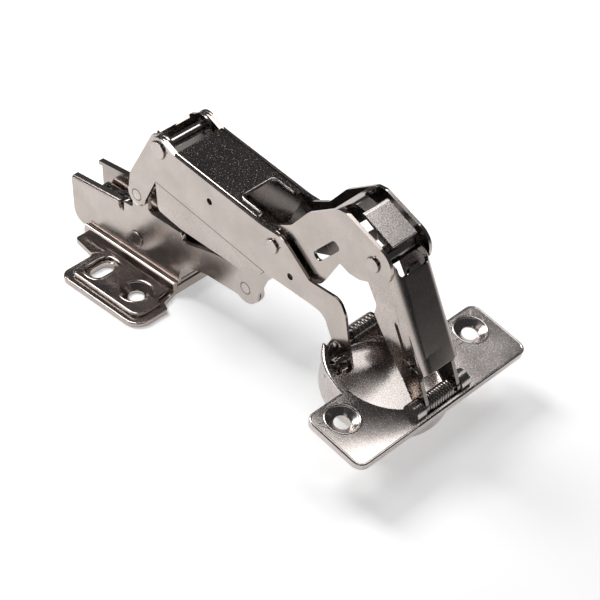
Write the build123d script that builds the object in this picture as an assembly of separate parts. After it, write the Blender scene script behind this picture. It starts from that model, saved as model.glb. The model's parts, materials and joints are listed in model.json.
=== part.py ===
from build123d import *
import math
import os

# Concealed cup hinge of the wide-angle, seven-pivot kind, with its screw-on mounting plate.
# Millimetres. X runs along the arm towards the cup, Y across, Z up from the mounting face.
# The origin lies on the mounting face, midway between the two round screw holes.
# Every pivot runs along Y. The links are pressed sheet plates that lie in layers beside
# each other, so each layer's half width follows from the one inside it.

# Pivots in side view, as (X, Z), with the hinge opened about 102 degrees
link_reach = (12.5, 22.5)
arm_pivot_front = (35.5, 19.5)
arm_pivot_step = (43.0, -8.2)
lever_reach = (33.5, 12.0)
cup_tilt = 12.0
cup_centre = (82.0, 19.05)

# Pins of the cup, as distance in from its outer wall and height over its top plane
back_pin_inset = 9.5
back_pin_height = -2.6
front_pin_inset = 1.5
front_pin_height = 0.8

# Sheet thicknesses, gaps and pins
arm_sheet = 1.2
link_sheet = 1.0
box_sheet = 0.9
plate_sheet = 0.8
cup_lever_sheet = 1.1
side_gap = 0.1
pin_play = 0.05
flush = 0.02
rivet_head = 0.6
rivet_rim = 0.45
link_pin_rim = 0.9
arm_pin_radius = 1.6
box_pin_radius = 1.5
cup_pin_radius = 1.5
knuckle_radius = 1.4

# Mounting plate
plate_thickness = 1.5
wing_rise = 1.2
wing_front = 11.0
wing_back = -22.0
wing_half_width = 25.5
wing_border = 2.4
waist_front = 6.6
screw_spacing = 32.0
screw_hole_radius = 2.3
countersink_radius = 4.7
countersink_depth = 1.8
slot_offset = -14.5
slot_length = 7.6
rib_height = 4.4
rib_width = 1.5
rear_tab_reach = 9.5
rear_tab_half_width = 12.0
rib_gap = 1.0

# Fixed arm
arm_half_width = 6.3
arm_floor_height = 2.6
arm_back = -37.7
arm_rail_width = 2.4
arm_ear_radius = 3.3
arm_nose_radius = 5.0
arm_window_length = 9.0
arm_rail_roll = 1.0
arm_rail_top = (17.9, 19.9)
bridge_height = 12.4
bridge_back = -34.0
bridge_front = -5.6
bridge_sheet = 1.1
arm_rivet_at = (-9.8, 10.7)
arm_rivet_radius = 1.5
arm_rivet_rim = 0.7
arm_rivet_head = 0.35
depth_screw_x = -22.6
depth_screw_head = 3.0
depth_screw_shank = 1.9
overlay_screw_x = -29.4
overlay_screw_radius = 1.9
overlay_screw_top = 15.2
washer_radius = 3.6
washer_thickness = 0.7

# Rear link
rear_link_end = 3.5
rear_link_top = 3.7
rear_tab_height = 1.3

# Box link and its long side plates
web_back = (10.8, 51.4)
web_front = (41.0, 46.95)
box_back_radius = 3.6
window_start = 33.0
window_half_width = 6.0
plate_back_radius = 3.7
arm_tip_radius = 3.0
rear_hole = (24.4, 43.4)
front_hole = (54.3, 35.4)
small_hole_radius = 1.0

# Scissor lever
lever_foot_radius = 4.8
lever_knuckle_radius = 5.8
lever_slot_from = (61.6, 44.9)
lever_slot_to = (69.2, 53.1)
lever_slot_width = 3.0
strip_rear = (65.4, 60.9)
strip_crest = (69.8, 63.7)
strip_front = (76.0, 62.9)
strip_band = 2.4
strip_neck_half_width = 2.2
cover_seat = 1.8
cover_crest = (75.4, 64.1)
cover_end = (84.9, 59.4)
cover_half_width = 4.3
cover_sheet = 1.2

# Cup lever
cup_lever_top_radius = 2.6
cup_lever_bend = 2.4
cup_lever_web_start = 3.0
cup_lever_notch_radius = 1.7
cup_lever_front = 5.9
cup_lever_back = 6.3
cup_lever_foot = 2.3
cup_lever_rib_from = 17.5
cup_lever_rib_to = 27.0
cup_lever_rib_out = 0.5
cup_lever_rib_half_width = 0.9
rib_emboss = 0.45

# Cup
cup_radius = 17.5
cup_wall = 1.0
cup_depth = 12.5
cup_floor_fillet = 2.0
flange_thickness = 1.9
flange_length = 63.2
flange_back = -0.2
flange_front = 19.9
flange_corner = 3.2
rim_overhang = 0.7
cup_screw_spacing = 48.0
cup_screw_offset = 6.0
cup_screw_radius = 2.2
cup_countersink = 4.6
cup_countersink_depth = 1.5
back_notch_gap = 1.2
back_notch_depth = 5.9
pocket_gap = 0.4
pocket_front = 18.6
pocket_depth = 1.8
boss_width = 3.2
boss_radius = 2.6

# Closing spring
spring_radius = 2.4
spring_gap = 0.5
spring_turns = 7
spring_groove = 0.22
sleeve_radius = 2.2
spring_at = (70.9, 22.6)
spring_pin_radius = 1.1


def add(a, b):
    """Sum of two side-view points."""
    return (a[0] + b[0], a[1] + b[1])


def minus(a, b):
    """Difference of two side-view points."""
    return (a[0] - b[0], a[1] - b[1])


def in_cup(point):
    """Side-view place of a point given in the tilted cup's own axes."""
    c, s = math.cos(math.radians(cup_tilt)), math.sin(math.radians(cup_tilt))
    return add(cup_centre, (point[0] * c + point[1] * s, point[1] * c - point[0] * s))


# Pivots worked out from the driving ones
cup_pivot_back = (back_pin_inset - cup_radius, back_pin_height)
cup_pivot_front = (cup_radius - front_pin_inset, front_pin_height)
arm_pivot_back = minus(arm_pivot_front, arm_pivot_step)
box_pivot_back = add(arm_pivot_back, link_reach)
box_pivot_front = add(arm_pivot_front, link_reach)
knuckle = add(box_pivot_front, lever_reach)
cup_back = in_cup(cup_pivot_back)
cup_front = in_cup(cup_pivot_front)

# Layers, counted from the middle outwards
arm_inner = arm_half_width - arm_sheet
link_inner = arm_half_width + side_gap
link_outer = link_inner + link_sheet
box_inner = link_outer + side_gap
box_outer = box_inner + box_sheet
side_plate_outer = box_outer + plate_sheet
cup_lever_outer = link_inner - side_gap
cup_lever_inner = cup_lever_outer - cup_lever_sheet
spring_half_width = cup_lever_inner - spring_gap
bridge_half_width = arm_inner - side_gap
front_pin_half_length = cup_lever_outer + pocket_gap + boss_width * 0.75


def outline(*corners):
    """Side-view face from corners given as (x, z, corner radius)."""
    points = [(x, z) for x, z, _ in corners]
    radii = [r for _, _, r in corners]
    return make_face(FilletPolyline(*points, radius=radii, close=True).edges())


def disc(centre, radius):
    """Round side-view face."""
    return Pos(centre[0], centre[1]) * Circle(radius)


def slab(face, low, high):
    """Side-view face turned into a plate between two distances across the hinge."""
    return extrude(Plane.XZ.offset(-high) * face, amount=high - low)


def both_sides(face, inner, outer):
    """The same plate on the near and on the far side."""
    return [slab(face, inner, outer), slab(face, -outer, -inner)]


def cross_pin(centre, radius, half_length):
    """Round pin across the hinge, centred on the middle plane."""
    return slab(disc(centre, radius), -half_length, half_length)


def bar(start, end, half_width):
    """Side-view strip of a given half width with square ends."""
    dx, dz = end[0] - start[0], end[1] - start[1]
    length = math.hypot(dx, dz)
    middle = ((start[0] + end[0]) / 2, (start[1] + end[1]) / 2)
    turn = math.degrees(math.atan2(dz, dx))
    return Pos(*middle) * Rot(0, 0, turn) * Rectangle(length, 2 * half_width)


def fuse(*solids):
    """One solid out of touching or overlapping ones."""
    result = solids[0]
    for solid in solids[1:]:
        result = result + solid
    return result


def flat_box(x, y, z):
    """Box from three (low, high) pairs."""
    size = (x[1] - x[0], y[1] - y[0], z[1] - z[0])
    return Pos((x[0] + x[1]) / 2, (y[0] + y[1]) / 2, (z[0] + z[1]) / 2) * Box(*size)


def upright(x, y, low, high, radius, top_radius=None):
    """Upright cylinder, or a cone if a top radius is given."""
    height = high - low
    if top_radius is None:
        return Pos(x, y, (low + high) / 2) * Cylinder(radius, height)
    return Pos(x, y, (low + high) / 2) * Cone(radius, top_radius, height)


def mirrored(corners):
    """Plan corners on the far side, completed with the same ones on the near side."""
    return [*corners, *[(x, -y, r) for x, y, r in reversed(corners)]]


def plate_plan():
    """Plan view of the mounting plate: two wings, a waist in front and a tab behind."""
    return outline(*mirrored([
        (waist_front, link_outer, 0.6),
        (waist_front + 1.7, 13.0, 0.8),
        (wing_front, 14.0, 0.8),
        (wing_front, wing_half_width, 5.0),
        (wing_back, wing_half_width, 3.2),
        (wing_back, rear_tab_half_width + 1.0, 1.5),
        (wing_back - rear_tab_reach, rear_tab_half_width - 0.5, 1.0),
    ]))


def plateau_plan():
    """Plan view of the raised field of the far wing."""
    return outline(
        (wing_back + 1.5, link_outer + rib_gap, 0.8),
        (waist_front - 0.8, link_outer + rib_gap, 0.8),
        (waist_front, 13.4, 1.0),
        (wing_front - wing_border, 14.9, 1.0),
        (wing_front - wing_border, wing_half_width - wing_border, 3.4),
        (wing_back + wing_border, wing_half_width - wing_border, 1.6),
    )


def mounting_plate():
    """Winged plate that is screwed to the cabinet side, with dished screw holes."""
    plate = extrude(plate_plan(), amount=plate_thickness)
    floor_x = (wing_back - rear_tab_reach, waist_front)
    plate = plate + flat_box(floor_x, (-arm_half_width, arm_half_width), (0.0, arm_floor_height))
    top = plate_thickness + wing_rise
    dome = extrude(plateau_plan(), amount=top)
    dome = chamfer(dome.faces().sort_by(Axis.Z)[-1].edges(), wing_rise * 0.5)
    hollow = extrude(offset(plateau_plan(), amount=-plate_thickness), amount=wing_rise)
    rib_y = (arm_half_width + side_gap, arm_half_width + side_gap + rib_width)
    rib = flat_box(floor_x, rib_y, (0.0, rib_height))
    rib = fillet(rib.edges().filter_by(Axis.X).group_by(Axis.Z)[-1], 0.6)
    plate = fuse(plate, dome, mirror(dome, Plane.XZ), rib, mirror(rib, Plane.XZ))
    plate = plate - hollow - mirror(hollow, Plane.XZ)
    for side in (1, -1):
        y = side * screw_spacing / 2
        slot_place = Pos(slot_offset, y) * Rot(0, 0, 90)
        plate = plate + upright(0, y, 0, top, countersink_radius + plate_thickness * 0.7)
        slot_ring = slot_place * SlotOverall(slot_length + 5.2, 2 * screw_hole_radius + 4.2)
        plate = plate + extrude(slot_ring, amount=top)
        plate = plate - upright(0, y, -1, top + 1, screw_hole_radius)
        plate = plate - upright(0, y, top - countersink_depth, top, screw_hole_radius, countersink_radius)
        slot = slot_place * SlotOverall(slot_length, 2 * screw_hole_radius)
        plate = plate - extrude(Pos(0, 0, -1) * slot, amount=top + 2)
        dish = slot_place * SlotOverall(slot_length + 3.0, 2 * screw_hole_radius + 3.0)
        plate = plate - extrude(Pos(0, 0, top - 0.9) * dish, amount=1.0)
    return plate - upright(depth_screw_x, 0, -1, arm_floor_height + 1, depth_screw_shank)


def arm_wall_face():
    """Side view of the fixed arm's wall, with the rear ear and the long nose."""
    ear_x, ear_z = arm_pivot_back
    nose_x, nose_z = arm_pivot_front
    wall = outline(
        (arm_back, arm_rail_top[0] - arm_rail_roll - side_gap, 0.3),
        (arm_back, arm_floor_height, 4.0),
        (6.4, arm_floor_height, 1.0),
        (8.6, 11.2, 4.0),
        (18.5, 13.9, 8.0),
        (nose_x, nose_z - arm_nose_radius, 6.0),
        (nose_x + 2.0, nose_z, 0.5),
        (nose_x, nose_z + arm_nose_radius, 0.5),
        (22.5, 23.2, 3.0),
        (9.9, 19.9, 1.2),
        (9.3, 22.8, 1.0),
        (-3.2, 22.8, 1.0),
        (ear_x + arm_ear_radius, 23.6, 0.5),
        (ear_x + arm_ear_radius, ear_z, 0.2),
        (ear_x - arm_ear_radius, ear_z, 0.2),
        (ear_x - arm_ear_radius, 21.0, 1.2),
        (-14.6, 20.8, 0.6),
        (-14.9, 17.4, 0.4),
        (-16.7, 17.2, 0.4),
        (-17.2, arm_rail_top[1] - arm_rail_roll - side_gap, 0.3),
    )
    return wall + disc(arm_pivot_back, arm_ear_radius) + disc(arm_pivot_front, arm_nose_radius)


def arm_rail():
    """Turned-in top rail of the arm's far wall, rolled over on its outer edge."""
    rear, front = arm_rail_top
    line = outline(
        (arm_back, rear, 0),
        (-17.3, front, 0),
        (-17.3, front - arm_sheet, 0),
        (arm_back, rear - arm_sheet, 0),
    )
    rail = slab(line, arm_half_width - arm_rail_width, arm_half_width)
    long_edges = rail.edges().filter_by(lambda edge: edge.length > 2 * arm_rail_width)
    outer_edges = long_edges.group_by(Axis.Y)[-1]
    return fillet(outer_edges.sort_by(Axis.Z)[-1], arm_rail_roll)


def hinge_arm():
    """Fixed arm: an open channel with turned-in top rails, a floor and a long nose."""
    walls = both_sides(arm_wall_face(), arm_inner, arm_half_width)
    floor_y = (-arm_inner - 0.3, arm_inner + 0.3)
    floor = flat_box((arm_back + 3.2, 6.2), floor_y, (arm_floor_height, arm_floor_height + arm_sheet))
    end_wall = flat_box((4.8, 6.0), floor_y, (arm_floor_height, 9.5))
    rail = arm_rail()
    arm = fuse(*walls, floor, rail, mirror(rail, Plane.XZ), end_wall)
    arm = arm - cross_pin(arm_pivot_back, arm_pin_radius, arm_half_width + 1)
    arm = arm - cross_pin(arm_pivot_front, arm_pin_radius, arm_half_width + 1)
    arm = arm - cross_pin(arm_rivet_at, arm_rivet_radius, arm_half_width + 1)
    slot = Pos(depth_screw_x, 0, 0) * SlotOverall(arm_window_length, 2 * depth_screw_shank + 0.6)
    return arm - extrude(slot, amount=arm_floor_height + arm_sheet + 1)


def adjuster_bridge():
    """Folded bridge inside the arm that carries the two adjusting screws."""
    low = arm_floor_height + arm_sheet
    length = (bridge_back, bridge_front)
    body = flat_box(length, (-bridge_half_width, bridge_half_width), (low, bridge_height))
    body = fillet(body.edges().filter_by(Axis.X).group_by(Axis.Z)[-1], 1.4)
    inner_y = bridge_half_width - bridge_sheet
    inner_x = (bridge_back - 1, bridge_front + 1)
    body = body - flat_box(inner_x, (-inner_y, inner_y), (low - 1, bridge_height - bridge_sheet))
    body = body - upright(depth_screw_x, 0, low, bridge_height + 1, depth_screw_shank)
    body = body - upright(overlay_screw_x, 0, low, bridge_height + 1, overlay_screw_radius)
    return body - cross_pin(arm_rivet_at, arm_rivet_radius, arm_half_width)


def cross_recess(x, top, reach, depth):
    """Cross slot for a screwdriver, cut from the top of an upright screw."""
    width = reach * 0.32
    first = flat_box((x - reach, x + reach), (-width / 2, width / 2), (top - depth, top + 1))
    return first + (Pos(x, 0, 0) * Rot(0, 0, 90) * Pos(-x, 0, 0) * first)


def depth_screw():
    """Pan-head screw that clamps the arm to the mounting plate."""
    seat = bridge_height + washer_thickness
    head_top = seat + 2.4
    head = upright(depth_screw_x, 0, seat, head_top, depth_screw_head)
    head = fillet(head.edges().sort_by(Axis.Z)[-1], 0.9)
    screw = head + upright(depth_screw_x, 0, 0.4, seat, depth_screw_shank)
    return screw - cross_recess(depth_screw_x, head_top, depth_screw_head * 0.66, 1.5)


def screw_washer():
    """Flat washer under the clamping screw's head."""
    ring = upright(depth_screw_x, 0, bridge_height, bridge_height + washer_thickness, washer_radius)
    return ring - upright(depth_screw_x, 0, bridge_height - 1, bridge_height + 2, depth_screw_shank)


def overlay_screw():
    """Headless screw that sets the overlay, standing on the arm's floor."""
    low = arm_floor_height + arm_sheet
    screw = upright(overlay_screw_x, 0, low, overlay_screw_top, overlay_screw_radius)
    screw = chamfer(screw.edges().filter_by(GeomType.CIRCLE), 0.3)
    return screw - cross_recess(overlay_screw_x, overlay_screw_top, overlay_screw_radius * 0.7, 1.3)


def arm_rivet():
    """Cross rivet that joins the bridge and the arm's walls."""
    shank = cross_pin(arm_rivet_at, arm_rivet_radius, arm_half_width)
    head_face = disc(arm_rivet_at, arm_rivet_radius + arm_rivet_rim)
    heads = both_sides(head_face, arm_half_width, arm_half_width + arm_rivet_head)
    return fuse(shank, *heads)


def arm_pin(centre):
    """Pin pressed into the arm's walls, its riveted ends flush with the link outside."""
    return cross_pin(centre, arm_pin_radius, link_outer + flush)


def rear_link_face():
    """Side view of the rear link's plates."""
    foot_x, foot_z = arm_pivot_back
    head_x, head_z = box_pivot_back
    body = outline(
        (foot_x - rear_link_end, foot_z - 0.5, 1.0),
        (foot_x - 2.3, foot_z + 6.6, 3.0),
        (head_x - 4.7, head_z + 1.7, 1.2),
        (head_x, head_z + rear_link_top, 1.5),
        (head_x + rear_link_top, head_z, 1.0),
        (head_x - 4.0, head_z - 13.2, 2.0),
        (foot_x + 2.9, foot_z - 1.4, 1.0),
    )
    return body + disc(arm_pivot_back, rear_link_end) + disc(box_pivot_back, rear_link_top)


def rear_link():
    """Rear link: two plates and the web that joins them behind the upper pin."""
    head_x, head_z = box_pivot_back
    foot_x, foot_z = arm_pivot_back
    link = fuse(*both_sides(rear_link_face(), link_inner, link_outer))
    web_low = (foot_x + 1.6, foot_z + 12.4)
    web_high = (head_x - 4.5, head_z + 1.2)
    web = slab(bar(web_low, web_high, link_sheet / 2), -link_inner - 0.2, link_inner + 0.2)
    along = minus(web_high, web_low)
    stretch = rear_tab_height / math.hypot(*along)
    tab_end = add(web_high, (along[0] * stretch, along[1] * stretch))
    tab = slab(bar(web_low, tab_end, link_sheet / 2), -5.4, 0.6)
    link = fuse(link, web, tab)
    link = link - cross_pin(arm_pivot_back, arm_pin_radius + pin_play, link_outer + 1)
    return link - cross_pin(box_pivot_back, arm_pin_radius + pin_play, link_outer + 1)


def link_pin():
    """Upper rear pin, riveted outside the long side plates."""
    pin = cross_pin(box_pivot_back, arm_pin_radius, side_plate_outer)
    head_face = disc(box_pivot_back, arm_pin_radius + link_pin_rim)
    heads = both_sides(head_face, side_plate_outer, side_plate_outer + rivet_head)
    return fuse(pin, *heads)


def box_wall_face():
    """Side view of the box link's walls."""
    front_x, front_z = box_pivot_front
    back_x, back_z = box_pivot_back
    wall = outline(
        (back_x - box_back_radius, back_z, 0.3),
        (2.0, 36.9, 1.0),
        (2.5, 28.4, 1.5),
        (11.6, 26.7, 6.0),
        (34.7, 26.1, 8.0),
        (41.6, 27.6, 2.0),
        (43.4, 30.4, 2.0),
        (front_x + 1.5, 32.6, 3.0),
        (front_x + 5.0, front_z - 2.0, 4.0),
        (front_x + 3.0, front_z + 4.4, 4.0),
        (web_front[0], web_front[1], 0.5),
        (web_back[0], web_back[1], 0.5),
        (back_x + box_back_radius * 0.44, back_z + box_back_radius * 0.9, 0.3),
    )
    return wall + disc(box_pivot_back, box_back_radius)


def edge_waste(start, end, half_width, radius):
    """Material outside the two rounded long edges of a web's top, from start to end."""
    dx, dz = minus(end, start)
    length = math.hypot(dx, dz)
    place = Plane(origin=(start[0], 0, start[1]), x_dir=(-dz, 0, dx), z_dir=(dx, 0, dz))
    size = radius + side_gap
    waste = []
    for side in (1, -1):
        corner = Pos(side_gap - size / 2, side * (half_width + side_gap - size / 2)) * Rectangle(size, size)
        corner = corner - Pos(-radius, side * (half_width - radius)) * Circle(radius)
        waste.append(extrude(place * corner, amount=length))
    return waste


def box_link():
    """Box link: a folded channel with a web on top and a window for the scissor lever."""
    slope = math.atan2(web_front[1] - web_back[1], web_front[0] - web_back[0])
    down = (box_sheet * math.sin(slope), -box_sheet * math.cos(slope))
    web_face = outline(
        (*web_back, 0), (*web_front, 0), (*add(web_front, down), 0), (*add(web_back, down), 0)
    )
    walls = both_sides(box_wall_face(), box_inner, box_outer)
    channel = fuse(*walls, slab(web_face, -box_outer, box_outer))
    for waste in edge_waste(web_back, web_front, box_outer, box_sheet * 0.9):
        channel = channel - waste
    lift = (web_back[1] + web_front[1]) / 2
    window = Pos((window_start + web_front[0] + 4) / 2, 0) * RectangleRounded(
        web_front[0] + 4 - window_start, 2 * window_half_width, 1.6
    )
    channel = channel - extrude(Pos(0, 0, lift - 8) * window, amount=20)
    channel = channel - cross_pin(rear_hole, small_hole_radius, box_outer + 1)
    channel = channel - cross_pin(box_pivot_back, arm_pin_radius, box_outer + 1)
    channel = channel - cross_pin(box_pivot_front, box_pin_radius, box_outer + 1)
    return channel


def side_plate_face():
    """Side view of a long side plate, from the rear pin down to the cup."""
    tip_x, tip_z = cup_back
    back_x, back_z = box_pivot_back
    body = outline(
        (back_x - plate_back_radius * 0.87, back_z + plate_back_radius * 0.49, 0.3),
        (-6.0, 38.4, 2.0),
        (-3.4, 35.6, 1.5),
        (3.2, 38.7, 1.0),
        (47.0, 31.2, 4.0),
        (50.2, 31.2, 2.0),
        (62.0, 30.6, 6.0),
        (66.4, 30.0, 4.0),
        (69.2, 23.6, 4.0),
        (tip_x - arm_tip_radius, tip_z, 1.0),
        (tip_x + arm_tip_radius, tip_z, 1.0),
        (75.6, 24.0, 10.0),
        (74.0, 34.0, 4.0),
        (71.9, 38.0, 3.5),
        (61.2, 37.9, 2.0),
        (51.8, 46.2, 6.0),
        (43.6, 46.4, 2.0),
        (11.0, 51.3, 3.0),
        (back_x + plate_back_radius * 0.44, back_z + plate_back_radius * 0.9, 0.3),
    )
    return body + disc(cup_back, arm_tip_radius) + disc(box_pivot_back, plate_back_radius)


def side_plate(side):
    """Long side plate, riveted outside the box link on one side (1 far, -1 near)."""
    near, far = sorted((side * box_outer, side * side_plate_outer))
    plate = slab(side_plate_face(), near, far)
    holes = (
        (box_pivot_back, arm_pin_radius),
        (box_pivot_front, box_pin_radius),
        (rear_hole, small_hole_radius),
        (front_hole, small_hole_radius),
        (spring_at, spring_pin_radius),
    )
    for centre, radius in holes:
        plate = plate - cross_pin(centre, radius, side_plate_outer + 1)
    return plate - cross_pin(cup_back, cup_pin_radius + pin_play, side_plate_outer + 1)


def box_pin():
    """Front pin of the box link, on which the scissor lever turns."""
    pin = cross_pin(box_pivot_front, box_pin_radius, side_plate_outer)
    head_face = disc(box_pivot_front, box_pin_radius + rivet_rim)
    heads = both_sides(head_face, side_plate_outer, side_plate_outer + rivet_head)
    return fuse(pin, *heads)


def spring_pin():
    """Pin between the side plates that carries the closing spring."""
    return cross_pin(spring_at, spring_pin_radius, side_plate_outer)


def closing_spring():
    """Coil spring on its pin between the side plates, drawn as touching turns."""
    pitch = 2 * spring_half_width / spring_turns
    ring = disc(spring_at, spring_radius) - disc(spring_at, spring_pin_radius)
    coil = slab(ring, -spring_half_width, spring_half_width)
    for turn in range(1, spring_turns):
        y = -spring_half_width + turn * pitch
        groove = Pos(spring_at[0], y, spring_at[1]) * Rot(90, 0, 0) * Torus(spring_radius, spring_groove)
        coil = coil - groove
    return coil


def lever_face():
    """Side view of the scissor lever's plates, with the slanting slot."""
    foot_x, foot_z = arm_pivot_front
    knee_x, knee_z = box_pivot_front
    top_x, top_z = knuckle
    body = outline(
        (foot_x - lever_foot_radius, foot_z + 1.0, 1.0),
        (knee_x - 5.2, knee_z + 3.0, 3.5),
        (53.0, 50.4, 5.0),
        (58.8, 57.4, 4.0),
        (69.2, 64.2, 3.0),
        (72.2, 64.4, 2.0),
        (top_x + 4.6, top_z + 4.4, 3.5),
        (top_x + 2.2, top_z - 5.2, 1.5),
        (76.8, 46.4, 2.0),
        (73.4, 46.4, 1.0),
        (70.0, 47.8, 0.6),
        (63.8, 37.4, 4.0),
        (54.0, 33.2, 6.0),
        (45.0, 29.8, 5.0),
        (foot_x + lever_foot_radius, foot_z, 1.0),
        (foot_x, foot_z - 2.0, 0.5),
    )
    face = body + disc(arm_pivot_front, lever_foot_radius) + disc(knuckle, lever_knuckle_radius)
    slot_dx = lever_slot_to[0] - lever_slot_from[0]
    slot_dz = lever_slot_to[1] - lever_slot_from[1]
    slot_mid = add(lever_slot_from, (slot_dx / 2, slot_dz / 2))
    turn = math.degrees(math.atan2(slot_dz, slot_dx))
    slot = RectangleRounded(math.hypot(slot_dx, slot_dz), lever_slot_width, 1.2)
    return face - Pos(*slot_mid) * Rot(0, 0, turn) * slot


def scissor_lever():
    """Scissor lever: two bent plates joined by a rolled strip at the top."""
    lever = fuse(*both_sides(lever_face(), link_inner, link_outer))
    strip_face = outline(
        (*strip_rear, 0),
        (*strip_crest, 2.5),
        (*strip_front, 0),
        (*minus(strip_front, (0.0, link_sheet)), 0),
        (*minus(strip_crest, (-0.3, link_sheet)), 1.5),
        (*add(strip_rear, (0.5 * link_sheet, -0.87 * link_sheet)), 0),
    )
    strip = slab(strip_face, -link_inner - 0.2, link_inner + 0.2)
    notch_width = link_inner + 0.4 - strip_neck_half_width
    notch_length = strip_front[0] - strip_rear[0]
    notch_x = strip_rear[0] + strip_band + notch_length / 2
    for side in (1, -1):
        notch_y = side * (strip_neck_half_width + notch_width / 2)
        notch = Pos(notch_x, notch_y, strip_rear[1] - 4) * SlotOverall(notch_length, notch_width)
        strip = strip - extrude(notch, amount=8)
    lever = lever + strip
    lever = lever - cross_pin(arm_pivot_front, arm_pin_radius + pin_play, link_outer + 1)
    lever = lever - cross_pin(box_pivot_front, box_pin_radius + pin_play, link_outer + 1)
    return lever - cross_pin(knuckle, box_pin_radius, link_outer + 1)


def lever_cover():
    """Cover plate seated on the front of the scissor lever's top strip, reaching over the knuckle."""
    seat_dx, seat_dz = minus(strip_front, strip_crest)
    seat_reach = math.hypot(seat_dx, seat_dz)
    along = (seat_dx / seat_reach, seat_dz / seat_reach)
    up = (-along[1], along[0])
    start = minus(strip_front, (along[0] * cover_seat, along[1] * cover_seat))
    face = outline(
        (*start, 0),
        (*strip_front, 0),
        (*minus(cover_end, (0.5, cover_sheet)), 0),
        (*cover_end, 0.3),
        (*cover_crest, 1.2),
        (*add(start, (up[0] * cover_sheet, up[1] * cover_sheet)), 0.4),
    )
    return slab(face, -cover_half_width, cover_half_width)


def knuckle_rivet():
    """Riveted ends of the knuckle pin, one in each plate of the scissor lever."""
    ends = []
    for side in (1, -1):
        shank = slab(disc(knuckle, box_pin_radius), link_inner, link_outer)
        head = slab(disc(knuckle, box_pin_radius + rivet_rim), link_outer, link_outer + rivet_head)
        end = shank + head
        ends.append(end if side > 0 else mirror(end, Plane.XZ))
    return ends


def lever_axes():
    """Unit vectors of the cup lever: down along it, and out of its front."""
    reach = math.dist(knuckle, cup_front)
    along = ((cup_front[0] - knuckle[0]) / reach, (cup_front[1] - knuckle[1]) / reach)
    return along, (-along[1], along[0]), reach


def on_lever(distance, out):
    """Side-view point at a distance below the knuckle and out of the lever's front."""
    along, front, _ = lever_axes()
    return (
        knuckle[0] + along[0] * distance + front[0] * out,
        knuckle[1] + along[1] * distance + front[1] * out,
    )


def cup_lever_wall():
    """Side view of the cup lever's walls."""
    _, _, reach = lever_axes()
    front, back = cup_lever_front, -cup_lever_back
    wall = outline(
        (*on_lever(-cup_lever_top_radius, 0), 0.8),
        (*on_lever(-cup_lever_top_radius + 0.2, 1.4), 1.0),
        (*on_lever(cup_lever_web_start - 0.8, front), 2.0),
        (*on_lever(reach - 13.6, front), 2.0),
        (*on_lever(reach - 10.5, 3.0), 2.5),
        (*on_lever(reach, cup_lever_foot), 1.0),
        (*on_lever(reach, -cup_lever_foot), 1.0),
        (*on_lever(reach - 8.0, -3.6), 3.0),
        (*on_lever(reach - 14.0, back + 1.2), 3.0),
        (*on_lever(15.0, back - 0.6), 1.2),
        (*on_lever(12.4, back + 1.3), 1.0),
        (*on_lever(5.4, back + 0.6), 1.5),
        (*on_lever(-1.0, -2.4), 1.0),
    )
    return wall + disc(cup_front, cup_lever_foot) + disc(knuckle, cup_lever_top_radius)


def lever_plane(distance, out, across):
    """Plane on the cup lever's middle line, facing down along it or out of its front."""
    along, front, _ = lever_axes()
    x, z = on_lever(distance, out)
    down, forward = (along[0], 0, along[1]), (front[0], 0, front[1])
    if across:
        return Plane(origin=(x, 0, z), x_dir=forward, z_dir=down)
    return Plane(origin=(x, 0, z), x_dir=down, z_dir=forward)


def folded_channel(front, half_width, bend):
    """Long prism with two rounded front edges, the folded sheet's outside or inside."""
    section = outline(
        (-20, -half_width, 0),
        (front, -half_width, bend),
        (front, half_width, bend),
        (-20, half_width, 0),
    )
    return extrude(lever_plane(-8.0, 0, True) * section, amount=60)


def cup_lever():
    """Cup lever: a folded channel, open at the back, that runs from knuckle to cup."""
    _, _, reach = lever_axes()
    inside_front = cup_lever_front - cup_lever_sheet
    lever = slab(cup_lever_wall(), -cup_lever_outer, cup_lever_outer)
    lever = lever & folded_channel(cup_lever_front, cup_lever_outer, cup_lever_bend)
    lever = lever - folded_channel(inside_front, cup_lever_inner, cup_lever_bend - cup_lever_sheet)
    for low, high in ((-8.0, cup_lever_web_start), (reach - 13.8, reach + 8.0)):
        lever = lever - slab(bar(on_lever(low, 0), on_lever(high, 0), 20), -cup_lever_inner, cup_lever_inner)
    notch_y = cup_lever_inner - cup_lever_notch_radius
    for side in (1, -1):
        place = lever_plane(cup_lever_web_start, cup_lever_front, False) * Pos(0, side * notch_y)
        lever = lever - extrude(place * Circle(cup_lever_notch_radius), amount=cup_lever_sheet * 2, both=True)
    rib_start = on_lever(cup_lever_rib_from, cup_lever_rib_out)
    rib_end = on_lever(cup_lever_rib_to, cup_lever_rib_out)
    shape = bar(rib_start, rib_end, cup_lever_rib_half_width)
    shape = shape + disc(rib_start, cup_lever_rib_half_width) + disc(rib_end, cup_lever_rib_half_width)
    for bump in both_sides(shape, cup_lever_inner - rib_emboss, cup_lever_inner + 0.1):
        lever = lever + bump
    for dent in both_sides(shape, cup_lever_outer - rib_emboss, cup_lever_outer + 1):
        lever = lever - dent
    lever = lever - cross_pin(knuckle, knuckle_radius, cup_lever_outer + 1)
    lever = lever - cross_pin(on_lever(reach - 12.2, 1.6), 0.7, cup_lever_outer + 1)
    return lever - cross_pin(cup_front, cup_pin_radius + pin_play, cup_lever_outer + 1)


def knuckle_pin():
    """Middle of the knuckle pin, which spaces the cup lever's walls."""
    return cross_pin(knuckle, knuckle_radius, cup_lever_outer)


def to_cup(shape):
    """Moves a shape from the cup's own axes to its tilted place."""
    return Pos(cup_centre[0], 0, cup_centre[1]) * Rot(0, cup_tilt, 0) * shape


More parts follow.
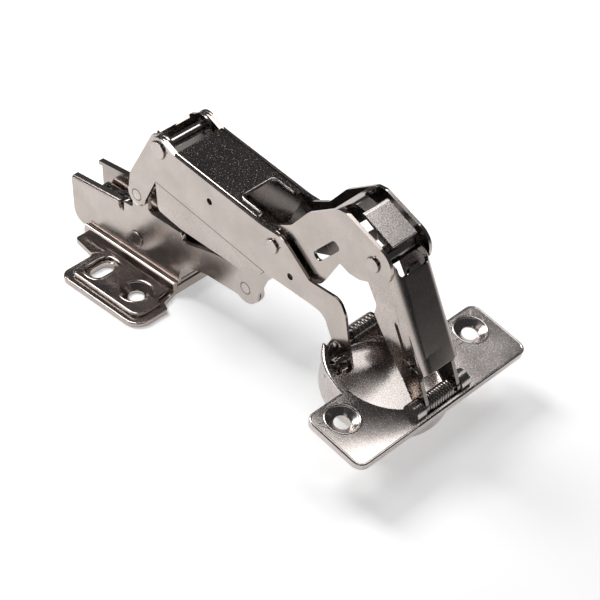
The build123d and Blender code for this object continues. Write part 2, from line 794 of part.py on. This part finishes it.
def cup_blank():
    """The cup's own form before its holes: drawn cup, flange and front bosses."""
    cup = upright(0, 0, -cup_depth, 0, cup_radius)
    cup = fillet(cup.edges().sort_by(Axis.Z)[0], cup_floor_fillet)
    flange_mid = (flange_back + flange_front) / 2
    flange = Pos(flange_mid, 0) * RectangleRounded(flange_front - flange_back, flange_length, flange_corner)
    plate = extrude(Pos(0, 0, -flange_thickness) * flange, amount=flange_thickness)
    plate = fillet(plate.faces().sort_by(Axis.Z)[-1].edges(), flange_thickness * 0.4)
    pocket_half_width = cup_lever_outer + pocket_gap
    boss_y = (pocket_half_width, pocket_half_width + boss_width)
    boss = slab(disc(cup_pivot_front, boss_radius), *boss_y)
    boss = boss & flat_box((0, 40), (-20, 20), (-flange_thickness, 10))
    rim = upright(0, 0, -flange_thickness, 0, cup_radius + rim_overhang)
    rim = fillet(rim.edges().sort_by(Axis.Z)[-1], flange_thickness * 0.4)
    flare_foot = -flange_thickness - rim_overhang
    flare = upright(0, 0, flare_foot, -flange_thickness, cup_radius, cup_radius + rim_overhang)
    return fuse(cup, rim, flare, plate, boss, mirror(boss, Plane.XZ))


def hinge_cup():
    """Drawn cup with its screw flange, the two pivot bosses and the notch for the arms."""
    cup = cup_blank()
    cavity = upright(0, 0, -cup_depth + cup_wall, 1, cup_radius - cup_wall)
    cavity = fillet(cavity.edges().sort_by(Axis.Z)[0], cup_floor_fillet - cup_wall * 0.5)
    cup = cup - cavity
    pocket_half_width = cup_lever_outer + pocket_gap
    pocket = flat_box((8.0, pocket_front), (-pocket_half_width, pocket_half_width), (-pocket_depth, 4))
    cup = cup - pocket
    back_notch = side_plate_outer + back_notch_gap
    notch = flat_box(
        (-cup_radius - rim_overhang - 1, -cup_radius + 6),
        (-back_notch, back_notch),
        (-back_notch_depth, 1),
    )
    cup = cup - notch
    for side in (1, -1):
        y = side * cup_screw_spacing / 2
        cup = cup - upright(cup_screw_offset, y, -5, 5, cup_screw_radius)
        cup = cup - upright(cup_screw_offset, y, -cup_countersink_depth, 0, cup_screw_radius, cup_countersink)
    chord = math.sqrt(cup_radius**2 - cup_pivot_back[0]**2)
    cup = cup - cross_pin(cup_pivot_back, cup_pin_radius, chord)
    cup = cup - cross_pin(cup_pivot_front, cup_pin_radius, front_pin_half_length)
    return to_cup(cup)


def cup_pin_back():
    """Two short rear cup pins, one through each side plate, with flat ends inside the cup's wall."""
    outermost = cup_pin_radius - cup_pivot_back[0]
    chord = math.sqrt((cup_radius - flush)**2 - outermost**2)
    return both_sides(disc(cup_back, cup_pin_radius), box_inner + side_gap, chord)


def cup_pin_front():
    """Front cup pin, held in the two bosses of the flange."""
    return cross_pin(cup_front, cup_pin_radius, front_pin_half_length)


def spring_sleeve():
    """Two sleeves on the rear cup pin that keep the side plates in their place."""
    chord = math.sqrt((cup_radius - cup_wall)**2 - cup_pivot_back[0]**2)
    ring = disc(cup_back, sleeve_radius) - disc(cup_back, cup_pin_radius)
    return both_sides(ring, side_plate_outer + side_gap, chord - sleeve_radius)


parts = {
    "mounting_plate": mounting_plate(),
    "hinge_arm": hinge_arm(),
    "adjuster_bridge": adjuster_bridge(),
    "depth_screw": depth_screw(),
    "screw_washer": screw_washer(),
    "overlay_screw": overlay_screw(),
    "arm_rivet": arm_rivet(),
    "arm_pin_back": arm_pin(arm_pivot_back),
    "arm_pin_front": arm_pin(arm_pivot_front),
    "rear_link": rear_link(),
    "link_pin": link_pin(),
    "box_link": box_link(),
    "side_plate_left": side_plate(-1),
    "side_plate_right": side_plate(1),
    "box_pin": box_pin(),
    "spring_pin": spring_pin(),
    "scissor_lever": scissor_lever(),
    "lever_cover": lever_cover(),
    "knuckle_rivets": knuckle_rivet(),
    "cup_lever": cup_lever(),
    "knuckle_pin": knuckle_pin(),
    "hinge_cup": hinge_cup(),
    "cup_pin_back": cup_pin_back(),
    "cup_pin_front": cup_pin_front(),
    "spring_sleeves": spring_sleeve(),
    "closing_spring": closing_spring(),
}

os.makedirs("parts", exist_ok=True)
for name, shape in parts.items():
    solids = []
    for item in shape if isinstance(shape, list) else [shape]:
        solids.extend(item.solids())
    export_step(solids[0] if len(solids) == 1 else Compound(children=solids), f"parts/{name}.step")
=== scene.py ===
import json
import math

import bmesh
import bpy
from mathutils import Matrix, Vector


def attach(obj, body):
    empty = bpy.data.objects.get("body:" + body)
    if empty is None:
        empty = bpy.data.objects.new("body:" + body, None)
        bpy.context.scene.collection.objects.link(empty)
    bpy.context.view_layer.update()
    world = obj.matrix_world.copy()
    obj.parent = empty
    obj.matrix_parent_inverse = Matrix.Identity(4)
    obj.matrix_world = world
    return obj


# Shapes are given in millimetres, in the part's own frame, and the stage in metres.

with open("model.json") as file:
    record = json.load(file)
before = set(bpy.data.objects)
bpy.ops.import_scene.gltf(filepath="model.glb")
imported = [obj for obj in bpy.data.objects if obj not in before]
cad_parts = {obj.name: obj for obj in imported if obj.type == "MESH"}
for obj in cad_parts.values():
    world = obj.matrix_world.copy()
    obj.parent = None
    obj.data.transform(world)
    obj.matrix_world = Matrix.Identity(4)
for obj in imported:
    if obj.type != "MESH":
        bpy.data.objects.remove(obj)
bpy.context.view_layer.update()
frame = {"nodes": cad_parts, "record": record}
nodes = frame["nodes"]
MM = 0.001


# Camera, fitted to the photograph's edges and hole centres

AZIMUTH = math.radians(45.05)
ELEVATION = math.radians(39.99)
FOCAL_PIXELS = 2039.8
PHOTO_PIXELS = 600.0
SENSOR_WIDTH = 36.0
LOOK_AT = Vector((36.5, 0, 25.4))
SHIFT_RIGHT, SHIFT_UP = -8.63, 10.57
DISTANCE = 543.2


def add_camera():
    level = math.cos(ELEVATION)
    right = Vector((math.cos(AZIMUTH), math.sin(AZIMUTH), 0))
    back = Vector((math.sin(AZIMUTH) * level, -math.cos(AZIMUTH) * level, math.sin(ELEVATION)))
    up = back.cross(right)
    centre = LOOK_AT - right * SHIFT_RIGHT - up * SHIFT_UP + back * DISTANCE
    data = bpy.data.cameras.new("camera")
    data.sensor_width = SENSOR_WIDTH
    data.lens = FOCAL_PIXELS / PHOTO_PIXELS * SENSOR_WIDTH
    data.clip_start = 0.01
    data.clip_end = 20.0
    camera = bpy.data.objects.new("camera", data)
    bpy.context.scene.collection.objects.link(camera)
    camera.location = centre * MM
    camera.rotation_euler = back.to_track_quat("Z", "Y").to_euler()
    bpy.context.scene.camera = camera


# Shader nodes

def new_material(name):
    material = bpy.data.materials.new(name)
    material.use_nodes = True
    tree = material.node_tree
    return material, tree, tree.nodes["Principled BSDF"]


def link(tree, start, end):
    tree.links.new(start, end)


def noise(tree, coords, scale, detail=2.0, roughness=0.5):
    node = tree.nodes.new("ShaderNodeTexNoise")
    node.inputs["Scale"].default_value = scale
    node.inputs["Detail"].default_value = detail
    node.inputs["Roughness"].default_value = roughness
    link(tree, coords, node.inputs["Vector"])
    return node.outputs["Fac"]


def ramp(tree, value, stops):
    """Colour ramp through stops given as (position, colour)."""
    node = tree.nodes.new("ShaderNodeValToRGB")
    elements = node.color_ramp.elements
    while len(elements) < len(stops):
        elements.new(0.5)
    for element, (position, colour) in zip(elements, stops):
        element.position = position
        element.color = (*colour, 1.0)
    link(tree, value, node.inputs["Fac"])
    return node.outputs["Color"]


def grey(value):
    return (value, value, value)


def multiply(tree, colour, factor):
    mix = tree.nodes.new("ShaderNodeMix")
    mix.data_type = "RGBA"
    mix.blend_type = "MULTIPLY"
    mix.inputs["Factor"].default_value = 1.0
    link(tree, colour, mix.inputs[6])
    link(tree, factor, mix.inputs[7])
    return mix.outputs[2]


def math_node(tree, operation, *values):
    """Math node whose inputs are numbers or other nodes' outputs."""
    node = tree.nodes.new("ShaderNodeMath")
    node.operation = operation
    for socket, value in zip(node.inputs, values):
        if isinstance(value, (int, float)):
            socket.default_value = value
        else:
            link(tree, value, socket)
    return node.outputs["Value"]


def vector_math(tree, operation, vector, constant=None):
    node = tree.nodes.new("ShaderNodeVectorMath")
    node.operation = operation
    link(tree, vector, node.inputs[0])
    if constant is not None:
        node.inputs[1].default_value = constant
    return node.outputs


def axis_y(tree, vector):
    node = tree.nodes.new("ShaderNodeSeparateXYZ")
    link(tree, vector, node.inputs["Vector"])
    return node.outputs["Y"]


def facing_out(tree, coords):
    """From -1 on faces that look at the hinge's middle plane to 1 on faces that look away from it."""
    normal = tree.nodes.new("ShaderNodeNewGeometry").outputs["Normal"]
    side = math_node(tree, "SIGN", axis_y(tree, coords))
    return math_node(tree, "MULTIPLY", side, axis_y(tree, normal))


# Painted shade: dark rings round the rivet heads and a dark band under the side plates' lower edge

# Rivets in side view, as centre and head radius
RIVETS = (((5.0, 50.2), 2.5), ((48.0, 42.0), 1.95), ((81.5, 54.0), 1.95),
          ((-7.5, 27.7), 1.6), ((35.5, 19.5), 1.6), ((-9.8, 10.7), 2.2))
# Width, fade and darkness of the painted shade ring round each rivet head
RIVET_LINE = 0.15
RIVET_FADE = 0.5
RIVET_SHADE = 0.30

# Lower edge of the long side plates, as a point, the direction up from it, how far below it the
# band starts, and the length that the band's ramp covers
SEAM_POINT = Vector((3.2, 0, 38.7))
SEAM_UP = Vector((0.1688, 0, 0.9857))
SEAM_DROP = 1.6
SEAM_SPAN = 4.0
# Darkness of the painted shadow band under the side plates' lower edge
SEAM_SHADE = 0.35


def painted_rivet_shade(tree, coords):
    """Painted shade: dark rings round the rivet heads, where their edges meet the sheet."""
    side_view = vector_math(tree, "MULTIPLY", coords, (1.0 / MM, 0.0, 1.0 / MM))["Vector"]
    nearest = None
    for (x, z), radius in RIVETS:
        reach = vector_math(tree, "DISTANCE", side_view, (x, 0.0, z))["Value"]
        away = math_node(tree, "ABSOLUTE", math_node(tree, "SUBTRACT", reach, radius))
        nearest = away if nearest is None else math_node(tree, "MINIMUM", nearest, away)
    return ramp(tree, nearest, [(RIVET_LINE, grey(RIVET_SHADE)), (RIVET_FADE, grey(1.0))])


def painted_seam_shadow(tree, coords):
    """Painted shadow: dark band on the box link's walls, under the long side plates' lower edge."""
    height = vector_math(tree, "DOT_PRODUCT", coords, SEAM_UP * (1.0 / (MM * SEAM_SPAN)))["Value"]
    start = (SEAM_POINT.dot(SEAM_UP) - SEAM_DROP) / SEAM_SPAN
    return ramp(tree, math_node(tree, "SUBTRACT", height, start),
                [(0.04, grey(1.0)), (0.07, grey(SEAM_SHADE)), (0.40, grey(SEAM_SHADE)), (0.45, grey(1.0))])


# Nickel plate

CLOUD_SCALE = 110.0
CLOUD_DEPTH = 0.12
RELIEF_STRENGTH = 0.35


def painted_fold_shade(tree, coords, inside, front):
    """Painted shade on faces inside the folds that look toward the middle plane, and on front faces where
    front is under 1.
    """
    half = math_node(tree, "MULTIPLY_ADD", facing_out(tree, coords), 0.5, 0.5)
    tones = [(0.15, grey(inside)), (0.4, grey(front))]
    if front < 1.0:
        tones += [(0.6, grey(front)), (0.8, grey(1.0))]
    return ramp(tree, half, tones)


def nickel(name, colour, rough, speckle, bump, grain=0.05, scale=2600.0, inside=1.0, front=1.0,
           joints=False, seam_shadow=False):
    """Nickel-plated pressed steel: cloudy stains, fine grains, and, where asked, painted shade inside the
    folds, on front faces, round rivet heads and under the side plates' edge.
    """
    material, tree, shader = new_material(name)
    coords = tree.nodes.new("ShaderNodeTexCoord").outputs["Object"]
    clouds = noise(tree, coords, CLOUD_SCALE, 3.0, 0.55)
    fine = noise(tree, coords, scale, 2.0, 0.6)
    low = tuple(c * (1.0 - CLOUD_DEPTH) for c in colour)
    high = tuple(c * (1.0 + CLOUD_DEPTH * 0.6) for c in colour)
    base = ramp(tree, clouds, [(0.3, low), (0.7, high)])
    base = multiply(tree, base, ramp(tree, fine, [
        (0.38, grey(1.0 - speckle)), (0.5, grey(1.0)), (0.62, grey(1.0 + speckle * 0.6))]))
    # Painted shade on inner fold faces, and on front faces where front is under 1
    if inside < 1.0:
        base = multiply(tree, base, painted_fold_shade(tree, coords, inside, front))
    # Painted shade rings round the rivet heads
    if joints:
        base = multiply(tree, base, painted_rivet_shade(tree, coords))
    # Painted shadow band under the long side plates' lower edge
    if seam_shadow:
        base = multiply(tree, base, painted_seam_shadow(tree, coords))
    link(tree, base, shader.inputs["Base Color"])
    shader.inputs["Metallic"].default_value = 1.0
    stains = ramp(tree, clouds, [(0.25, grey(rough * 0.85)), (0.75, grey(rough * 1.2))])
    specks = ramp(tree, fine, [(0.60, grey(0.0)), (0.70, grey(grain))])
    link(tree, math_node(tree, "ADD", stains, specks), shader.inputs["Roughness"])
    relief = tree.nodes.new("ShaderNodeBump")
    relief.inputs["Strength"].default_value = RELIEF_STRENGTH
    relief.inputs["Distance"].default_value = bump * MM
    link(tree, fine, relief.inputs["Height"])
    link(tree, relief.outputs["Normal"], shader.inputs["Normal"])
    return material


STEEL = (0.485, 0.428, 0.396)
PALE_STEEL = (0.56, 0.51, 0.485)
# inside and front set the painted shade on inner fold faces and on faces across the middle plane
materials = {
    "arm_steel": nickel("nickel_satin", STEEL, 0.19, speckle=0.05, bump=0.002, inside=0.30, joints=True),
    "dark_steel": nickel("nickel_mirror", STEEL, 0.12, speckle=0.16, bump=0.012, grain=0.20, scale=3400.0,
                         inside=0.30, front=0.55),
    "plate_steel": nickel("nickel_plate", (0.48, 0.42, 0.39), 0.19, speckle=0.06, bump=0.003, grain=0.0),
    "cup_steel": nickel("nickel_speckled", PALE_STEEL, 0.22, speckle=0.16, bump=0.012, grain=0.10),
    "screw_steel": nickel("nickel_screw", (0.54, 0.50, 0.47), 0.18, speckle=0.05, bump=0.006),
    "pin_steel": nickel("nickel_pin", (0.50, 0.45, 0.42), 0.17, speckle=0.04, bump=0.004),
    "spring_steel": nickel("spring_wire", (0.36, 0.33, 0.31), 0.22, speckle=0.08, bump=0.010),
}
own_steel = {
    "box_link": nickel("nickel_box", STEEL, 0.12, speckle=0.16, bump=0.012, grain=0.30, scale=3000.0,
                       inside=0.30, seam_shadow=True),
    "hinge_arm": nickel("nickel_arm", STEEL, 0.22, speckle=0.05, bump=0.002, inside=0.80, joints=True),
    "lever_cover": nickel("nickel_cover", PALE_STEEL, 0.26, speckle=0.30, bump=0.020, grain=0.20,
                          scale=3200.0),
}
slot_of = {s["node"]: s["material_slot"] for s in frame["record"]["subparts"]}


# The pressed pieces: small rounded edges that catch the light, on the solids as packed

SHARP_ANGLE = math.radians(32)
WELD_REACH = 0.000002
PLAIN_EDGE = 0.12
PIECE_EDGE = 0.14
edge_width = {"hinge_cup": 0.24, "mounting_plate": 0.3, "cup_lever": 0.16, "scissor_lever": 0.14,
              "box_link": 0.3, "hinge_arm": 0.16, "lever_cover": 0.4}


def shade_smooth(mesh):
    mesh.polygons.foreach_set("use_smooth", [True] * len(mesh.polygons))


def round_edges(thing, width):
    edge = thing.modifiers.new("edge", "BEVEL")
    edge.width = width * MM
    edge.segments = 2
    edge.limit_method = "ANGLE"
    edge.angle_limit = SHARP_ANGLE
    edge.harden_normals = True
    edge.use_clamp_overlap = True


def finish_node(name):
    thing = nodes[name]
    thing.data.materials.clear()
    thing.data.materials.append(own_steel.get(name, materials[slot_of[name]]))
    for polygon in thing.data.polygons:
        polygon.material_index = 0
    weld = thing.modifiers.new("weld", "WELD")
    weld.merge_threshold = WELD_REACH
    round_edges(thing, edge_width.get(name, PLAIN_EDGE))
    normals = thing.modifiers.new("normals", "WEIGHTED_NORMAL")
    normals.mode = "FACE_AREA"
    normals.weight = 80
    shade_smooth(thing.data)


for name in nodes:
    finish_node(name)


# Small pieces that the solids leave out

KNUCKLE = Vector((81.5, 0, 54.0))
CUP_PIN = Vector((97.817, 0, 16.506))
LEVER_REACH = (CUP_PIN - KNUCKLE).length
DOWN = (CUP_PIN - KNUCKLE).normalized()
OUT = Vector((-DOWN.z, 0, DOWN.x))
SIDES = (("far", 1), ("near", -1))
LIP_WIRE = 0.5
OPEN_ENDS = slice(4, -4)  # leaves the bent-in ends out of a rounded path that stays open


def new_piece(name, mesh, body, slot):
    piece = bpy.data.objects.new(name, mesh)
    bpy.context.scene.collection.objects.link(piece)
    mesh.materials.append(materials[slot])
    shade_smooth(mesh)
    round_edges(piece, PIECE_EDGE)
    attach(piece, body)
    return piece


def skin(rings, caps=True):
    """Mesh through rings of the same number of points, in millimetres."""
    mesh = bpy.data.meshes.new("skin")
    work = bmesh.new()
    loops = [[work.verts.new(Vector(point) * MM) for point in ring] for ring in rings]
    count = len(loops[0])
    for first, second in zip(loops, loops[1:]):
        for k in range(count):
            n = (k + 1) % count
            work.faces.new((first[k], first[n], second[n], second[k]))
    if caps:
        work.faces.new(list(reversed(loops[0])))
        work.faces.new(loops[-1])
    bmesh.ops.recalc_face_normals(work, faces=work.faces)
    work.to_mesh(mesh)
    work.free()
    return mesh


def angles_round(count):
    return [2 * math.pi * k / count for k in range(count)]


def circle(x, y, radius):
    """Plan path round a hole."""
    return [(x + radius * math.cos(a), y + radius * math.sin(a)) for a in angles_round(48)]


def rounded(corners, steps=6):
    """Closed plan path through corners given as (x, y, radius), with the corners rounded."""
    path = []
    for k, (x, y, radius) in enumerate(corners):
        here = Vector((x, y))
        before = (Vector(corners[k - 1][:2]) - here).normalized()
        after = (Vector(corners[(k + 1) % len(corners)][:2]) - here).normalized()
        reach = radius / math.tan(before.angle(after) / 2)
        start, end = here + before * reach, here + after * reach
        for step in range(steps + 1):
            t = step / steps
            path.append(start * (1 - t) ** 2 + here * 2 * t * (1 - t) + end * t ** 2)
    return path


def rim(name, path, height, body, slot, wire=LIP_WIRE, closed=True):
    """Rolled rim along a plan path; height gives the level of its middle at an x."""
    rings = []
    count = len(path)
    for k, point in enumerate(path):
        before = path[k - 1] if closed else path[max(k - 1, 0)]
        after = path[(k + 1) % count] if closed else path[min(k + 1, count - 1)]
        along = (Vector(after) - Vector(before)).normalized()
        side = Vector((along.y, -along.x, 0))
        middle = Vector((point[0], point[1], height(point[0])))
        rings.append([middle + side * wire * math.cos(b) + Vector((0, 0, wire * math.sin(b)))
                      for b in angles_round(12)])
    if closed:
        rings.append(rings[0])
    return new_piece(name, skin(rings, caps=not closed), body, slot)


def plate_rims():
    """Rounded lips of the mounting plate: round its dished holes, raised fields and wings."""
    hole_level, field_level, wing_level = 2.35, 2.2, 1.05
    slot_back, slot_front, slot_half, slot_corner = -18.4, -10.6, 5.4, 3.8
    for label, side in SIDES:
        hole_y = side * 16.0
        hole = circle(0.0, hole_y, 4.75)
        rim("hole_rim_" + label, hole, lambda x: hole_level, "arm", "plate_steel")
        slot = rounded([(slot_back, hole_y - slot_half, slot_corner),
                        (slot_front, hole_y - slot_half, slot_corner),
                        (slot_front, hole_y + slot_half, slot_corner),
                        (slot_back, hole_y + slot_half, slot_corner)], 10)
        rim("slot_rim_" + label, slot, lambda x: hole_level, "arm", "plate_steel")
        field = rounded([(5.7, side * 10.5, 0.8), (6.2, side * 13.6, 1.0), (8.2, side * 15.2, 1.0),
                         (8.2, side * 22.7, 3.2), (-19.3, side * 22.7, 1.5), (-19.6, side * 14.0, 0.8)])
        rim("field_rim_" + label, field[OPEN_ENDS], lambda x: field_level, "arm", "plate_steel",
            closed=False)
        wing = rounded([(10.6, side * 14.4, 0.8), (10.6, side * 25.1, 4.8), (-21.6, side * 25.1, 3.0),
                        (-21.6, side * 13.2, 0.8)])
        rim("wing_rim_" + label, wing[OPEN_ENDS], lambda x: wing_level, "arm", "plate_steel",
            closed=False)


def flange_rims():
    """Rounded lips of the tilted cup flange: round its dished holes and its outer edge."""
    tilt = math.radians(12.0)
    cup_x, cup_z = 82.0, 19.05
    hole_depth, edge_depth = -0.35, -0.40
    back, front, outermost, corner = 0.3, 19.4, 31.1, 2.7

    def in_plan(points, z):
        return [(cup_x + x * math.cos(tilt) + z * math.sin(tilt), y) for x, y in points]

    def level(z):
        return lambda x: cup_z + z * math.cos(tilt) - (x - cup_x - z * math.sin(tilt)) * math.tan(tilt)

    for label, side in SIDES:
        hole = circle(6.0, side * 24.0, 4.65)
        rim("flange_hole_rim_" + label, in_plan(hole, hole_depth), level(hole_depth), "cup", "cup_steel")
        edge = rounded([(back, side * 18.6, 0.4), (back, side * outermost, corner),
                        (front, side * outermost, corner), (front, side * 10.4, 0.4)])
        rim("flange_rim_" + label, in_plan(edge[OPEN_ENDS], edge_depth), level(edge_depth), "cup",
            "cup_steel", closed=False)


def window_rim():
    """Rolled rim round the box link's window, open at the front end."""
    back, front, half, corner = 33.0, 40.6, 6.0, 1.6
    web_x, web_z, web_slope = 10.8, 51.3, 0.14735
    path = [(front, half)]
    path += [(back + corner - corner * math.sin(a), half - corner + corner * math.cos(a))
             for a in (math.radians(15 * k) for k in range(7))]
    path += [(x, -y) for x, y in reversed(path)]
    rim("window_rim", path, lambda x: web_z - web_slope * (x - web_x), "outer_link", "pin_steel",
        wire=0.40, closed=False)


def rolled_sleeve(name, centre, inner, outer, half_width, slit_at, body, slot):
    """Sleeve rolled from sheet, with its joint left open as a narrow slit."""
    steps, half_slit = 40, 6
    sweep_out = [math.radians(slit_at + half_slit + (360 - 2 * half_slit) * k / steps)
                 for k in range(steps + 1)]
    ring = [(radius * math.cos(a), radius * math.sin(a))
            for radius, sweep in ((outer, sweep_out), (inner, sweep_out[::-1])) for a in sweep]
    rings = [[(centre.x + x, y, centre.z + z) for x, z in ring] for y in (-half_width, half_width)]
    return new_piece(name, skin(rings), body, slot)


def coil(name, centre, radius, wire, half_width, turns, body, slot):
    """Coil spring wound on a pin that runs across the hinge."""
    per_turn, around = 20, 8
    rings = []
    for step in range(turns * per_turn + 1):
        angle = 2 * math.pi * step / per_turn
        y = -half_width + 2 * half_width * step / (turns * per_turn)
        spoke = Vector((math.cos(angle), 0, math.sin(angle)))
        middle = centre + spoke * radius + Vector((0, y, 0))
        rings.append([middle + spoke * wire * math.cos(b) + Vector((0, wire * math.sin(b), 0))
                      for b in angles_round(around)])
    return new_piece(name, skin(rings), body, slot)


def lever_skirt():
    """Lower end of the cup lever's folded front, which reaches further down than the solid."""
    front, outer, bend, sheet, low = 5.9, 6.296, 2.4, 1.1, 2.6
    slant_from = 4.9
    # Distance above the cup pin, height over the solid's front, and slope of the end
    stations = ((15.4, -0.03, 0.0), (13.96, 0.006, 0.0), (9.6, 0.006, 1.0))

    def corner(radius):
        return [(front - bend + radius * math.sin(a), outer - bend + radius * math.cos(a))
                for a in (math.radians(15 * k) for k in range(7))]

    outside = [(low, outer)] + corner(bend)
    inside = [(low, outer - sheet)] + corner(bend - sheet)
    section = outside + [(out, -y) for out, y in reversed(outside)]
    section += [(out, -y) for out, y in inside] + list(reversed(inside))
    rings = []
    for above_pin, proud, slope in stations:
        ring = []
        for out, y in section:
            along = LEVER_REACH - above_pin + max(0.0, slant_from - out) * slope
            ring.append(KNUCKLE + DOWN * along + OUT * (out + proud) + Vector((0, y, 0)))
        rings.append(ring)
    return new_piece("cup_lever_skirt", skin(rings), "cup_lever", "dark_steel")


plate_rims()
flange_rims()
window_rim()
rolled_sleeve("knuckle_sleeve", KNUCKLE, 1.5, 2.6, 5.1, 200, "cup_lever", "pin_steel")
coil("front_pin_spring", CUP_PIN, 2.05, 0.38, 4.5, 10, "cup", "spring_steel")
lever_skirt()


# Stage: pale floor, soft lights and a dim studio

FLOOR_HALF = 3.0
FLOOR_DROP = 0.0001
FLOOR_GLOW = 0.42
GLOW_TO, GLOW_FADE = 0.22, 0.33
STUDIO_COLOUR = (0.9, 0.92, 1.0, 1.0)
STUDIO_STRENGTH = 0.055
# Lamps as name, place, target, width, height and power
LAMPS = (
    ("softbox_top", (0.045, 0.155, 0.42), (0.03, 0.10, 0.02), 0.22, 0.20, 0.50),
    ("key_left", (-0.25, -0.03, 0.43), (0.03, 0.0, 0.02), 0.17, 0.26, 1.7),
    ("strip_low", (-0.33, -0.50, 0.15), (0.03, 0.0, 0.02), 0.30, 0.12, 0.5),
    ("fill_front", (0.35, -0.45, 0.40), (0.04, 0.0, 0.02), 0.30, 0.30, 0.2),
)


def add_floor():
    """Floor with its own glow near the hinge, which only the camera and mirror-like rays see."""
    mesh = bpy.data.meshes.new("floor")
    corners = [(x * FLOOR_HALF, y * FLOOR_HALF, 0) for x, y in ((-1, -1), (1, -1), (1, 1), (-1, 1))]
    mesh.from_pydata(corners, [], [(0, 1, 2, 3)])
    floor = bpy.data.objects.new("floor", mesh)
    floor.location = (0, 0, -FLOOR_DROP)
    bpy.context.scene.collection.objects.link(floor)
    material, tree, shader = new_material("pale_floor")
    coords = tree.nodes.new("ShaderNodeTexCoord").outputs["Object"]
    tone = ramp(tree, noise(tree, coords, 6.0), [(0.3, grey(0.86)), (0.7, grey(0.88))])
    link(tree, tone, shader.inputs["Base Color"])
    distance = vector_math(tree, "LENGTH", coords)["Value"]
    glow = ramp(tree, distance, [(GLOW_TO, grey(1.0)), (GLOW_FADE, grey(0.0))])
    link(tree, glow, shader.inputs["Emission Color"])
    rays = tree.nodes.new("ShaderNodeLightPath").outputs
    seen = math_node(tree, "MAXIMUM", rays["Is Camera Ray"], rays["Is Glossy Ray"])
    seen = math_node(tree, "MAXIMUM", seen, rays["Is Transmission Ray"])
    link(tree, math_node(tree, "MULTIPLY", seen, FLOOR_GLOW), shader.inputs["Emission Strength"])
    shader.inputs["Roughness"].default_value = 0.9
    shader.inputs["Specular IOR Level"].default_value = 0.1
    mesh.materials.append(material)


def area_light(name, place, target, width, height, power):
    data = bpy.data.lights.new(name, "AREA")
    data.shape = "RECTANGLE"
    data.size = width
    data.size_y = height
    data.energy = power
    lamp = bpy.data.objects.new(name, data)
    lamp.location = place
    direction = Vector(place) - Vector(target)
    lamp.rotation_euler = direction.to_track_quat("Z", "Y").to_euler()
    bpy.context.scene.collection.objects.link(lamp)


def add_world():
    world = bpy.data.worlds.new("studio")
    world.use_nodes = True
    bpy.context.scene.world = world
    background = world.node_tree.nodes["Background"]
    background.inputs["Color"].default_value = STUDIO_COLOUR
    background.inputs["Strength"].default_value = STUDIO_STRENGTH


add_camera()
add_floor()
add_world()
for lamp in LAMPS:
    area_light(*lamp)

bpy.context.scene.view_settings.view_transform = "Standard"
bpy.context.scene.view_settings.look = "None"
